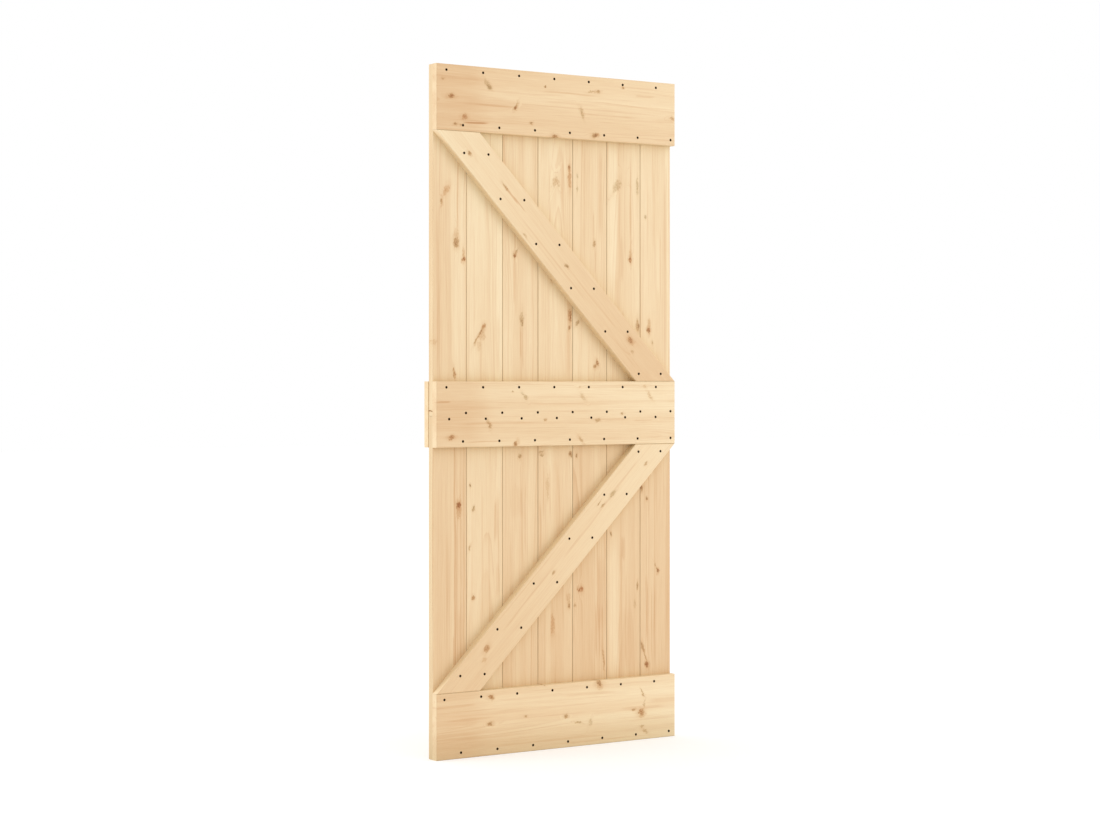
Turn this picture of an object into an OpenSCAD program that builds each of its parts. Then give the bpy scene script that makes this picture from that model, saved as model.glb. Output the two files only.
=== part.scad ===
// Ledged and braced barn door leaf of bare pine, in millimetres.
// Upright tongue and groove planks, butted at the middle, are held by three rails on the front and one on
// the back. Two diagonal braces lie between the front rails, and every board is screwed from the front.
// The front faces -Y, +Z is up, and the origin is at the middle of the foot.

/* [Leaf] */
// Width over the ends of the rails
leaf_w = 900; // [800:5:1000]
// Height from the foot to the top edge
leaf_h = 2100; // [1950:5:2400]

/* [Planks] */
// Thickness of the planks
plank_t = 24; // [20:0.5:30]
// Distance that the planks stop short of each end of the rails
plank_inset = 1.5; // [0.5:0.5:6]
// Width of the first and the last plank, to the middle of the seam
edge_plank_w = 120; // [100:1:140]
// Open gap between two planks at a seam
seam_gap = 0.8; // [0.4:0.1:2]
// Bevel along the edges and ends of the planks
plank_bevel = 1.2; // [0.5:0.1:3]
// Length of the tongue beyond the edge of its plank
tongue_l = 8; // [6:0.5:12]
// Thickness of the tongue
tongue_t = 8; // [6:0.5:10]
// Bevel on the two corners of the tongue
tongue_bevel = 1; // [0.3:0.1:2]
// Clearance round the tongue in its groove
tongue_clear = 0.2; // [0.1:0.05:0.5]
// Open gap at the butt joint between the upper and the lower planks
joint_gap = 0.6; // [0.2:0.1:2]

/* [Rails] */
// Thickness of the rails and the braces
rail_t = 24; // [20:0.5:30]
// Height of each rail
rail_h = 200; // [160:2:240]
// Height of the middle rails' centre line above the foot
middle_rail_z = 1042; // [950:1:1150]
// Distance of the planks' butt joint below that centre line
joint_drop = 5; // [0:0.5:20]
// Rounding of the edges round the outer face of the rails and braces
edge_r = 2.5; // [1:0.25:5]

/* [Braces] */
// Width of a brace, square to its length
brace_w = 110; // [90:1:130]
// Gap between the ends of a brace and the rails
brace_fit = 0.3; // [0.1:0.1:1]

/* [Screws] */
// Diameter of the countersunk head
head_d = 8; // [7:0.1:9]
// Height of the straight rim of the head
head_rim = 0.5; // [0.2:0.1:1]
// Depth of the top of the head below the face of the board
head_sunk = 0.3; // [0.1:0.1:1]
// Diameter of the shank
shank_d = 4; // [3:0.1:5]
// Length of the screws through the top rail, the bottom rail and the braces
screw_l = 40; // [32:1:42]
// Length of the screws through both middle rails
long_screw_l = 60; // [56:1:64]
// Length of the point
point_l = 7; // [4:0.5:10]
// Clearance round the screw in its hole
hole_clear = 0.15; // [0.05:0.05:0.4]
// Distance of the screw rows from the long edges of a rail
row_inset = 18; // [12:0.5:30]
// Distance of the two joint rows from the butt joint
joint_row_inset = 9; // [7:0.5:14]
// Least distance of a screw from either edge of its plank
screw_margin = 16; // [12:0.5:25]
// Distance of the left row's screws from the seam line on their right
left_row_back = 86.5; // [75:0.5:100]
// Distance of the right row's screws from the seam line on their right
right_row_back = 27.5; // [20:0.5:40]
// Further distance of both bottom rail rows from that line
bottom_row_shift = 7; // [0:0.5:10]
// Distance of the upper joint row's screws from the right edge of their plank
upper_joint_back = 16.5; // [16:0.5:30]
// Distance of the lower joint row's screws from the right edge of their plank
lower_joint_back = 76.5; // [60:0.5:90]
// Distance between the two screws of a brace pair
pair_gap = 87.5; // [70:0.5:95]
// Distance of the braces' first screw pair from the middle rail
pair_from_middle = 24; // [20:0.5:50]
// Distance of the upper brace's last pair from the top rail
pair_from_top = 66; // [30:1:90]
// Distance of the lower brace's last pair from the bottom rail
pair_from_bottom = 50; // [30:1:90]

/* [Hidden] */
$fn = 48;
plank_count = 7;
pair_count = plank_count - 1;
plank_colour = [0.94, 0.83, 0.67];
rail_colour = [0.91, 0.77, 0.59];
screw_colour = [0.07, 0.06, 0.06];
// How far a cutting shape reaches past the face that it cuts
cut_over = 1;

// Seams, counted from the left, with the line past the last plank where its full width would end
first_plank_x = -leaf_w / 2 + plank_inset;
seam_pitch = (leaf_w - 2 * plank_inset - 2 * edge_plank_w) / (plank_count - 2);
function seam_line(i) = first_plank_x + edge_plank_w + i * seam_pitch;
function plank_left(i) = i == 0 ? first_plank_x : seam_line(i - 1) + seam_gap / 2;
function plank_right(i) = i == plank_count - 1 ? -first_plank_x : seam_line(i) - seam_gap / 2;

// Levels of the rails, the bays between them and the butt joint
top_rail_z = leaf_h - rail_h / 2;
bottom_rail_z = rail_h / 2;
joint_z = middle_rail_z - joint_drop;
upper_bay_low = middle_rail_z + rail_h / 2;
upper_bay_high = leaf_h - rail_h;
lower_bay_low = rail_h;
lower_bay_high = middle_rail_z - rail_h / 2;
front_y = -plank_t / 2 - rail_t;

// Depths below the front face where the screw head's rim and its right-angled cone end
rim_end = head_sunk + head_rim;
cone_end = rim_end + (head_d - shank_d) / 2;

// A brace's edges run through opposite corners of its bay, so it turns about the middle of the bay
function brace_angle(low, high) =
    atan2(high - low, leaf_w) + asin(brace_w / norm([leaf_w, high - low]));

// Screw places, each [x, z] on the front face
function within_plank(i, x) =
    max(plank_left(i) + screw_margin, min(plank_right(i) - screw_margin, x));
function seam_row(back, z) =
    [for (i = [0 : plank_count - 1]) [within_plank(i, seam_line(i) - back), z]];
function joint_row(back, z) =
    [for (i = [0 : plank_count - 1]) [within_plank(i, plank_right(i) - back), z]];
function pair_places(low, high, first_z, last_z, lean) = [
    for (k = [0 : pair_count - 1])
        let (z = first_z + (last_z - first_z) * k / (pair_count - 1))
        let (x = lean * ((low + high) / 2 - z) / tan(brace_angle(low, high)))
        for (side = [-1, 1]) [x + side * pair_gap / 2, z]
];

top_places = concat(
    seam_row(left_row_back, leaf_h - row_inset),
    seam_row(right_row_back, upper_bay_high + row_inset)
);
middle_places = concat(
    seam_row(left_row_back, upper_bay_low - row_inset),
    joint_row(upper_joint_back, joint_z + joint_row_inset),
    joint_row(lower_joint_back, joint_z - joint_row_inset),
    seam_row(right_row_back, lower_bay_high + row_inset)
);
bottom_places = concat(
    seam_row(left_row_back + bottom_row_shift, lower_bay_low - row_inset),
    seam_row(right_row_back + bottom_row_shift, row_inset)
);
upper_brace_places = pair_places(
    upper_bay_low, upper_bay_high, upper_bay_low + pair_from_middle, upper_bay_high - pair_from_top, 1
);
lower_brace_places = pair_places(
    lower_bay_low, lower_bay_high, lower_bay_high - pair_from_middle, lower_bay_low + pair_from_bottom, -1
);
short_places = concat(top_places, bottom_places, upper_brace_places, lower_brace_places);

// Cross-section of plank i, tongue on its right edge and groove in its left, the outer edges plain
module plank_section(i) {
    left = plank_left(i);
    right = plank_right(i);
    face = plank_t / 2;
    side = face - plank_bevel;
    tip = right + tongue_l;
    half_tongue = tongue_t / 2;
    half_groove = half_tongue + tongue_clear;
    groove_end = left + tongue_l - seam_gap + tongue_clear;
    tongue = i == plank_count - 1 ? [] : [
        [right, -half_tongue],
        [tip - tongue_bevel, -half_tongue],
        [tip, -half_tongue + tongue_bevel],
        [tip, half_tongue - tongue_bevel],
        [tip - tongue_bevel, half_tongue],
        [right, half_tongue]
    ];
    groove = i == 0 ? [] : [
        [left, half_groove],
        [groove_end, half_groove],
        [groove_end, -half_groove],
        [left, -half_groove]
    ];
    polygon(concat(
        [[left, -side], [left + plank_bevel, -face], [right - plank_bevel, -face], [right, -side]],
        tongue,
        [[right, side], [right - plank_bevel, face], [left + plank_bevel, face], [left, side]],
        groove
    ));
}

// Outline of a plank seen from its edge, with bevelled ends
module plank_edge_view(low, high) {
    face = plank_t / 2;
    side = face - plank_bevel;
    polygon([
        [-side, low], [side, low], [face, low + plank_bevel], [face, high - plank_bevel],
        [side, high], [-side, high], [-face, high - plank_bevel], [-face, low + plank_bevel]
    ]);
}

// Section of a rail or brace: inner face on the Y axis, both corners of the outer face rounded
module board_section(width) {
    translate([0, -width / 2]) square([rail_t - edge_r, width]);
    translate([0, -width / 2 + edge_r]) square([rail_t, width - 2 * edge_r]);
    for (end = [-1, 1]) translate([rail_t - edge_r, end * (width / 2 - edge_r)]) circle(edge_r);
}

// Bar along X with its inner face on Y = 0 and its outer face towards +Y
module bar(length, width) {
    rotate([90, 0, 90]) linear_extrude(length, center = true) board_section(width);
}

// Board with all four edges of its outer face rounded
module board(length, width) {
    intersection() {
        bar(length, width);
        linear_extrude(width, center = true) rotate(90) board_section(length);
    }
}

// Puts a board's inner face against the front of the planks
module on_front(z) {
    translate([0, -plank_t / 2, z]) mirror([0, 1, 0]) children();
}

// Countersunk screw along +Y, sunk below the face of its board at Y = 0
module screw(length) {
    point = head_sunk + length;
    rotate([-90, 0, 0]) rotate_extrude() polygon([
        [0, head_sunk], [head_d / 2, head_sunk], [head_d / 2, rim_end], [shank_d / 2, cone_end],
        [shank_d / 2, point - point_l], [0, point]
    ]);
}

// Hole for that screw, with its countersink open to the face
module screw_hole(length) {
    bottom = head_sunk + length + hole_clear;
    head_hole_r = head_d / 2 + hole_clear;
    shank_hole_r = shank_d / 2 + hole_clear;
    rotate([-90, 0, 0]) rotate_extrude() polygon([
        [0, -cut_over], [head_hole_r, -cut_over], [head_hole_r, rim_end], [shank_hole_r, cone_end],
        [shank_hole_r, bottom], [0, bottom]
    ]);
}

module at_places(places) {
    for (place = places) translate([place.x, front_y, place.y]) children();
}

// The places whose holes reach into plank i between two levels
function places_in_plank(places, i, low, high) = [
    for (place = places)
        if (place.x > plank_left(i) - head_d && place.x < plank_right(i) + tongue_l + head_d
            && place.y > low - head_d && place.y < high + head_d) place
];

module plank(i, low, high) {
    color(plank_colour) difference() {
        intersection() {
            translate([0, 0, low]) linear_extrude(high - low) plank_section(i);
            rotate([90, 0, 90]) linear_extrude(2 * leaf_w, center = true) plank_edge_view(low, high);
        }
        at_places(places_in_plank(short_places, i, low, high)) screw_hole(screw_l);
        at_places(places_in_plank(middle_places, i, low, high)) screw_hole(long_screw_l);
    }
}

module upper_plank(i) {
    plank(i, joint_z + joint_gap / 2, leaf_h);
}

module lower_plank(i) {
    plank(i, 0, joint_z - joint_gap / 2);
}

module top_rail() {
    color(rail_colour) difference() {
        on_front(top_rail_z) board(leaf_w, rail_h);
        at_places(top_places) screw_hole(screw_l);
    }
}

module middle_rail_front() {
    color(rail_colour) difference() {
        on_front(middle_rail_z) board(leaf_w, rail_h);
        at_places(middle_places) screw_hole(long_screw_l);
    }
}

module middle_rail_back() {
    color(rail_colour) difference() {
        translate([0, plank_t / 2, middle_rail_z]) board(leaf_w, rail_h);
        at_places(middle_places) screw_hole(long_screw_l);
    }
}

module bottom_rail() {
    color(rail_colour) difference() {
        on_front(bottom_rail_z) board(leaf_w, rail_h);
        at_places(bottom_places) screw_hole(screw_l);
    }
}

// Brace across the bay between two levels, falling to the right for lean 1 and to the left for lean -1
module brace(low, high, lean, places) {
    color(rail_colour) difference() {
        on_front((low + high) / 2) intersection() {
            rotate([0, lean * brace_angle(low, high), 0]) bar(2 * leaf_w, brace_w);
            board(leaf_w, high - low - 2 * brace_fit);
        }
        at_places(places) screw_hole(screw_l);
    }
}

module upper_brace() {
    brace(upper_bay_low, upper_bay_high, 1, upper_brace_places);
}

module lower_brace() {
    brace(lower_bay_low, lower_bay_high, -1, lower_brace_places);
}

module screw_group(places, length) {
    color(screw_colour) at_places(places) screw(length);
}

for (i = [0 : plank_count - 1]) {
    upper_plank(i);
    lower_plank(i);
}
top_rail();
middle_rail_front();
middle_rail_back();
bottom_rail();
upper_brace();
lower_brace();
screw_group(top_places, screw_l);  // top_rail_screws
screw_group(middle_places, long_screw_l);  // middle_rail_screws
screw_group(bottom_places, screw_l);  // bottom_rail_screws
screw_group(upper_brace_places, screw_l);  // upper_brace_screws
screw_group(lower_brace_places, screw_l);  // lower_brace_screws
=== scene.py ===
"""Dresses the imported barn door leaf: bare knotty pine boards, black countersunk screws, a white studio."""

from __future__ import annotations

import logging
import math
from dataclasses import dataclass, field
from enum import Enum

import bpy
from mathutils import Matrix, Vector

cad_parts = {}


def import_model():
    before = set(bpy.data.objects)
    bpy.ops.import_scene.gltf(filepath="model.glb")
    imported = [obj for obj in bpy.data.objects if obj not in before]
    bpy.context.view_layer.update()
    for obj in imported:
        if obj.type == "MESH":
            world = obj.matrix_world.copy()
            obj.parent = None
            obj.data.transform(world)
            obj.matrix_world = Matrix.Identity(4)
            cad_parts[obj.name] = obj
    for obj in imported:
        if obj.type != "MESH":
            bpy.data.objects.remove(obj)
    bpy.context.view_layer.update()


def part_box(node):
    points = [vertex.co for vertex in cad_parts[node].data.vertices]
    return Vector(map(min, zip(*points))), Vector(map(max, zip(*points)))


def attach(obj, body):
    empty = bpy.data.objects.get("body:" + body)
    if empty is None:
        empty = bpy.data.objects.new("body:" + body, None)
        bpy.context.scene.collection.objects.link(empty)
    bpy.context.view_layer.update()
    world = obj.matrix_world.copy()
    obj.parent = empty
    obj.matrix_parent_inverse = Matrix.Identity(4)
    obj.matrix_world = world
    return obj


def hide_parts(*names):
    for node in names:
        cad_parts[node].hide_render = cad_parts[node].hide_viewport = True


LOG = logging.getLogger("barn_door")

MM = 0.001
IMAGE_W = 1100
IMAGE_H = 824
SENSOR_W_MM = 36.0
NOISE_STEP = (1.7, 0.9, 5.3)
SEAM_REACH = 10.0
CORNER_SAMPLES = 8

Colour = tuple[float, float, float, float]
WHITE: Colour = (1.0, 1.0, 1.0, 1.0)
Triple = tuple[float, float, float]


def srgb(red: int, green: int, blue: int) -> Colour:
    """Turns a screen colour into the linear colour that a shader reads.

    Args:
        red: Red, 0 to 255.
        green: Green, 0 to 255.
        blue: Blue, 0 to 255.

    Returns:
        The linear colour with full alpha.
    """
    def linear(level: int) -> float:
        """Gives the linear value of one channel."""
        share = level / 255
        return share / 12.92 if share <= 0.04045 else ((share + 0.055) / 1.055) ** 2.4

    return linear(red), linear(green), linear(blue), 1.0


class Grain(Enum):
    """Which way the grain of a board runs."""

    UPRIGHT = "upright"
    LEVEL = "level"
    FALLING = "falling"
    RISING = "rising"


class Cut(Enum):
    """How a board was sawn: the pith's place across the board and behind its face, in millimetres."""

    FLAT = (8.0, 85.0)
    RIFT = (75.0, 70.0)
    QUARTER = (190.0, 30.0)


@dataclass(frozen=True)
class Knot:
    """A knot on a board, placed in leaf millimetres from the left edge and the foot.

    Red runs from -1 for grey over 0 for brown to 1 for red. The long axis leans from the grain by so many
    degrees, and a taper draws one end to a tail.
    """

    x: float
    z: float
    radius: float
    dark: float
    red: float = 0.0
    stretch: float = 1.3
    lean: float = 0.0
    taper: float = 0.0


@dataclass(frozen=True)
class Streak:
    """A long stripe along the grain, darker where warm is above 0 and paler where it is below."""

    x: float
    z: float
    half_width: float
    half_length: float
    warm: float
    soft: float = 0.6


@dataclass(frozen=True)
class PineFinish:
    """Planed bare pine: the colour of clear wood, and how strongly each thing in it takes up light.

    A tint says how much red, green and blue light is taken up, against red for the grain. Rough and smooth
    change the roughness, rise and dip the height of the bump. The corner shade is painted shade that darkens
    the corners between boards where less light reaches them, and its reach in millimetres is how far it
    goes.
    """

    clear: Colour = srgb(253, 230, 190)
    grain_tint: Triple = (1.0, 1.95, 2.75)
    knot_tint: Triple = (1.0, 1.4, 2.0)
    red_tint: Triple = (0.0, 0.35, 0.55)
    late: float = 0.09
    band: float = 0.07
    line: float = 0.06
    fibre: float = 0.05
    roughness: float = 0.56
    knot: float = 0.8
    late_smooth: float = 0.08
    fibre_rough: float = 0.1
    knot_smooth: float = 0.12
    late_rise: float = 0.5
    fibre_dip: float = 0.6
    knot_rise: float = 0.5
    shine: float = 0.3
    bump_mm: float = 0.25
    bump_strength: float = 0.5
    # painted shade in the corners between boards, and how far from them it reaches
    painted_corner_shade: float = 0.4
    painted_corner_shade_mm: float = 120.0


@dataclass(frozen=True)
class ScrewFinish:
    """Colour and gloss of black coated screws."""

    coat: Colour = srgb(42, 23, 6)
    worn: Colour = srgb(58, 40, 20)
    shine: float = 0.03
    roughness: float = 0.5
    cloud_waves: float = 420.0


class NodeSketch:
    """Adds and wires the nodes of one shader tree."""

    def __init__(self, tree: bpy.types.NodeTree) -> None:
        """Keeps the tree that is drawn in."""
        self.tree = tree

    def add(self, kind: str, **settings: object) -> bpy.types.Node:
        """Adds a node.

        Args:
            kind: The node's type name.
            settings: Properties to set on it.

        Returns:
            The new node.
        """
        node = self.tree.nodes.new(kind)
        for name, value in settings.items():
            setattr(node, name, value)
        return node

    def feed(self, socket: bpy.types.NodeSocket, value: object) -> None:
        """Links an input to a socket, or sets it to a plain value.

        Args:
            socket: The input.
            value: The socket or the plain value.
        """
        if isinstance(value, bpy.types.NodeSocket):
            self.tree.links.new(value, socket)
        else:
            socket.default_value = value

    def math(self, operation: str, first: object, second: object = 0.0) -> bpy.types.NodeSocket:
        """Works out one sum of two values.

        Args:
            operation: The Math node's operation.
            first: First value or socket.
            second: Second value or socket.

        Returns:
            The result's socket.
        """
        node = self.add("ShaderNodeMath", operation=operation)
        self.feed(node.inputs[0], first)
        self.feed(node.inputs[1], second)
        return node.outputs[0]

    def vector(self, operation: str, first: object, second: object) -> bpy.types.NodeSocket:
        """Works out one sum of two vectors.

        Args:
            operation: The Vector Math node's operation.
            first: First vector or socket.
            second: Second vector or socket.

        Returns:
            The result's socket.
        """
        node = self.add("ShaderNodeVectorMath", operation=operation)
        self.feed(node.inputs[0], first)
        self.feed(node.inputs[1], second)
        return node.outputs["Vector"]

    def split(self, place: object) -> list[bpy.types.NodeSocket]:
        """Splits a vector.

        Args:
            place: The vector or its socket.

        Returns:
            The sockets of its three values.
        """
        node = self.add("ShaderNodeSeparateXYZ")
        self.feed(node.inputs[0], place)
        return list(node.outputs)

    def join(self, across: object, through: object, along: object) -> bpy.types.NodeSocket:
        """Joins three values into a vector.

        Args:
            across: First value or socket.
            through: Second value or socket.
            along: Third value or socket.

        Returns:
            The vector's socket.
        """
        node = self.add("ShaderNodeCombineXYZ")
        for socket, value in zip(node.inputs, (across, through, along)):
            self.feed(socket, value)
        return node.outputs[0]

    def group(self, tree: bpy.types.NodeTree, **values: object) -> bpy.types.NodeOutputs:
        """Places a node group with its own values.

        Args:
            tree: The group.
            values: Its inputs by name, with _ in place of a space.

        Returns:
            The group's outputs.
        """
        node = self.add("ShaderNodeGroup", node_tree=tree)
        for label, value in values.items():
            self.feed(node.inputs[label.replace("_", " ")], value)
        return node.outputs

    def fade(self, value: object, start: float, stop: float, first: float,
             last: float) -> bpy.types.NodeSocket:
        """Fades smoothly from one level to another.

        Args:
            value: The value that drives the fade.
            start: Where the fade starts.
            stop: Where it stops, above start.
            first: Level at and before the start.
            last: Level at and after the stop.

        Returns:
            The faded value's socket.
        """
        node = self.add("ShaderNodeMapRange", interpolation_type="SMOOTHSTEP")
        for socket, given in zip(node.inputs, (value, start, stop, first, last)):
            self.feed(socket, given)
        return node.outputs[0]

    def noise(self, place: object, scale: Triple, detail: float = 2.0,
              colour: bool = False) -> bpy.types.NodeSocket:
        """Samples noise that may be drawn out along any axis.

        Args:
            place: Where to sample.
            scale: How many waves to a metre across, through and along the board.
            detail: Octaves of finer noise.
            colour: Whether to give three values instead of one.

        Returns:
            The noise's socket, with values about 0.5.
        """
        node = self.add("ShaderNodeTexNoise")
        self.feed(node.inputs["Vector"], self.vector("MULTIPLY", place, scale))
        node.inputs["Scale"].default_value = 1.0
        node.inputs["Detail"].default_value = detail
        return node.outputs["Color" if colour else "Fac"]

    def mix(self, share: object, first: object, second: object) -> bpy.types.NodeSocket:
        """Mixes two colours.

        Args:
            share: How much of the second colour.
            first: First colour or socket.
            second: Second colour or socket.

        Returns:
            The mixed colour's socket.
        """
        node = self.add("ShaderNodeMix", data_type="RGBA")
        self.feed(node.inputs[0], share)
        self.feed(node.inputs[6], first)
        self.feed(node.inputs[7], second)
        return node.outputs[2]

    def finish(self, kind: str, shader: bpy.types.NodeSocket) -> None:
        """Feeds a shader to a new output node of the given kind."""
        output = self.add(kind)
        self.feed(output.inputs["Surface"], shader)


def clear_sketch(owner: bpy.types.Material | bpy.types.World) -> NodeSketch:
    """Empties the nodes of a material or world.

    Args:
        owner: The material or world.

    Returns:
        A sketch of its empty tree.
    """
    owner.use_nodes = True
    owner.node_tree.nodes.clear()
    return NodeSketch(owner.node_tree)


@dataclass
class GroupForm:
    """A shader node group being drawn, with its own inputs and outputs."""

    name: str
    inputs: dict[str, str]
    outputs: dict[str, str]
    tree: bpy.types.NodeTree = field(init=False)
    sketch: NodeSketch = field(init=False)
    entry: bpy.types.NodeOutputs = field(init=False)
    exit: bpy.types.NodeInputs = field(init=False)

    def __post_init__(self) -> None:
        """Makes the empty group with its sockets."""
        self.tree = bpy.data.node_groups.new(self.name, "ShaderNodeTree")
        for way, sockets in (("INPUT", self.inputs), ("OUTPUT", self.outputs)):
            for label, kind in sockets.items():
                self.tree.interface.new_socket(label, in_out=way, socket_type=f"NodeSocket{kind}")
        self.sketch = NodeSketch(self.tree)
        self.entry = self.sketch.add("NodeGroupInput").outputs
        self.exit = self.sketch.add("NodeGroupOutput").inputs


@dataclass
class PineShop:
    """The node groups that every pine material is made of, and how far each wave in the wood reaches.

    The halo is the warm wood round a knot, and the swell is how far a knot pushes the rings aside. Both are
    so many times as wide and as long as the knot.
    """

    finish: PineFinish = field(default_factory=PineFinish)
    groups: dict[str, bpy.types.NodeTree] = field(default_factory=dict)
    wander_mm: float = 26.0
    wiggle_mm: float = 1.6
    trail_mm: float = 16.0
    trail_end_mm: float = 60.0
    outline_mm: float = 13.0
    ragged_mm: float = 7.0
    drawn_out: float = 1.5
    halo: tuple[float, float] = (2.3, 3.0)
    halo_dark: float = 0.26
    halo_red: float = 0.6
    swell: tuple[float, float] = (2.2, 5.0)
    knot_push: float = 0.05
    late_power: float = 2.2
    year_waves: float = 0.21
    year_shift: float = 7.0

    def build(self) -> None:
        """Builds every group once."""
        for maker in (self.build_outline, self.build_knot, self.build_streak, self.build_rings,
                      self.build_colour):
            tree = maker()
            self.groups[tree.name] = tree

    def build_outline(self) -> bpy.types.NodeTree:
        """Draws the group that makes straight outlines uneven.

        Returns:
            The group: a place on the board in, the place shifted a little for knots and for stripes out.
        """
        form = GroupForm("pine_outline", {"Place": "Vector", "Shift": "Vector"},
                         {"Ragged": "Vector", "Trail": "Vector", "Mottle": "Float"})
        pen = form.sketch
        place = form.entry["Place"]
        moved = pen.vector("ADD", place, form.entry["Shift"])

        def waved(start: object, scale: Triple, reach: Triple) -> bpy.types.NodeSocket:
            """Shifts a place by noise.

            Args:
                start: The place or its socket.
                scale: How many waves to a metre across, through and along the board.
                reach: How far the noise reaches each way, in millimetres.

            Returns:
                The shifted place's socket.
            """
            wave = pen.vector("SUBTRACT", pen.noise(moved, scale, colour=True), (0.5, 0.5, 0.5))
            metres = tuple(part * MM for part in reach)
            return pen.vector("ADD", start, pen.vector("MULTIPLY", wave, metres))

        ragged = waved(place, (60.0, 20.0, 40.0), (self.outline_mm, 0.0, self.drawn_out * self.outline_mm))
        ragged = waved(ragged, (210.0, 60.0, 130.0), (self.ragged_mm, 0.0, self.drawn_out * self.ragged_mm))
        trail = waved(place, (8.0, 8.0, 2.2), (self.trail_mm, 0.0, 0.0))
        trail = waved(trail, (90.0, 30.0, 9.0), (0.3 * self.trail_mm, 0.0, self.trail_end_mm))
        mottle = pen.fade(pen.noise(moved, (260.0, 90.0, 160.0)), 0.3, 0.7, 0.0, 1.0)
        pen.feed(form.exit["Ragged"], ragged)
        pen.feed(form.exit["Trail"], trail)
        pen.feed(form.exit["Mottle"], mottle)
        return form.tree

    @staticmethod
    def hypotenuse(pen: NodeSketch, first: object, second: object) -> bpy.types.NodeSocket:
        """Gives the length of the diagonal over two sides."""
        squares = [pen.math("MULTIPLY", side, side) for side in (first, second)]
        return pen.math("SQRT", pen.math("ADD", *squares))

    def build_knot(self) -> bpy.types.NodeTree:
        """Draws the group that adds one knot to those before it.

        Returns:
            The group: how dark, red and swollen the wood is so far in, the same with this knot out.
        """
        sums = {"Knot": "Float", "Red": "Float", "Bulge": "Float"}
        own = {"Place": "Vector", "Centre": "Vector", "Radius": "Float", "Stretch": "Float",
               "Lean": "Float", "Taper": "Float", "Dark": "Float", "Redness": "Float", "Mottle": "Float"}
        form = GroupForm("pine_knot", own | sums, sums)
        pen = form.sketch
        entry = form.entry
        pushed = pen.join(pen.math("MULTIPLY", entry["Bulge"], self.knot_push), 0.0, 0.0)
        leaned = pen.add("ShaderNodeVectorRotate", rotation_type="Y_AXIS")
        pen.feed(leaned.inputs["Vector"], pen.vector("ADD", entry["Place"], pushed))
        pen.feed(leaned.inputs["Center"], entry["Centre"])
        pen.feed(leaned.inputs["Angle"], entry["Lean"])
        across, _, along = pen.split(pen.vector("SUBTRACT", leaned.outputs[0], entry["Centre"]))
        across = pen.math("DIVIDE", across, entry["Radius"])
        along = pen.math("DIVIDE", along, pen.math("MULTIPLY", entry["Radius"], entry["Stretch"]))
        narrow = pen.math("ADD", pen.math("MULTIPLY", along, entry["Taper"]), 1.0)
        across = pen.math("MULTIPLY", across, pen.math("MAXIMUM", narrow, 0.4))

        def distance(wide: float, long: float) -> bpy.types.NodeSocket:
            """Works out the distance from the knot, on a wider and longer ellipse.

            Args:
                wide: How many times as wide.
                long: How many times as long.

            Returns:
                The socket of the distance, in radii of that ellipse.
            """
            side = pen.math("DIVIDE", across, wide)
            length = pen.math("DIVIDE", along, long)
            return self.hypotenuse(pen, side, length)

        near = distance(1.0, 1.0)
        core = pen.fade(near, 0.3, 1.2, 1.0, 0.0)
        core = pen.math("MULTIPLY", core, pen.fade(entry["Mottle"], 0.0, 1.0, 0.6, 1.4))
        rim = pen.math("MULTIPLY", pen.fade(near, 0.45, 0.9, 0.0, 1.0), pen.fade(near, 0.9, 1.3, 0.6, 0.0))
        rim = pen.math("MULTIPLY", rim, entry["Mottle"])
        halo = pen.fade(distance(*self.halo), 0.1, 1.0, self.halo_dark, 0.0)
        dark = pen.math("MULTIPLY", pen.math("ADD", pen.math("ADD", core, rim), halo), entry["Dark"])
        red = pen.math("MULTIPLY", dark, entry["Redness"])
        warm = pen.math("MULTIPLY", entry["Dark"], self.halo_red)
        red = pen.math("ADD", red, pen.math("MULTIPLY", halo, warm))
        swell = pen.math("MULTIPLY", pen.fade(distance(*self.swell), 0.0, 1.0, 1.0, 0.0), entry["Radius"])
        pen.feed(form.exit["Knot"], pen.math("ADD", entry["Knot"], dark))
        pen.feed(form.exit["Red"], pen.math("ADD", entry["Red"], red))
        pen.feed(form.exit["Bulge"], pen.math("ADD", entry["Bulge"], swell))
        return form.tree

    def build_streak(self) -> bpy.types.NodeTree:
        """Draws the group that adds one stripe to those before it.

        Returns:
            The group: the warmth so far in, the warmth with this stripe out.
        """
        own = {"Place": "Vector", "Centre": "Vector", "Half Width": "Float", "Half Length": "Float",
               "Soft": "Float", "Strength": "Float", "Warmth": "Float"}
        form = GroupForm("pine_streak", own, {"Warmth": "Float"})
        pen = form.sketch
        entry = form.entry
        across, _, along = pen.split(pen.vector("SUBTRACT", entry["Place"], entry["Centre"]))
        side = pen.math("ABSOLUTE", pen.math("DIVIDE", across, entry["Half Width"]))
        length = pen.math("ABSOLUTE", pen.math("DIVIDE", along, entry["Half Length"]))
        start = pen.math("SUBTRACT", 1.0, entry["Soft"])
        stop = pen.math("ADD", 1.0, entry["Soft"])
        width = pen.fade(side, start, stop, 1.0, 0.0)
        reach = pen.fade(length, 0.5, 1.0, 1.0, 0.0)
        stripe = pen.math("MULTIPLY", pen.math("MULTIPLY", width, reach), entry["Strength"])
        pen.feed(form.exit["Warmth"], pen.math("ADD", entry["Warmth"], stripe))
        return form.tree

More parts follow.
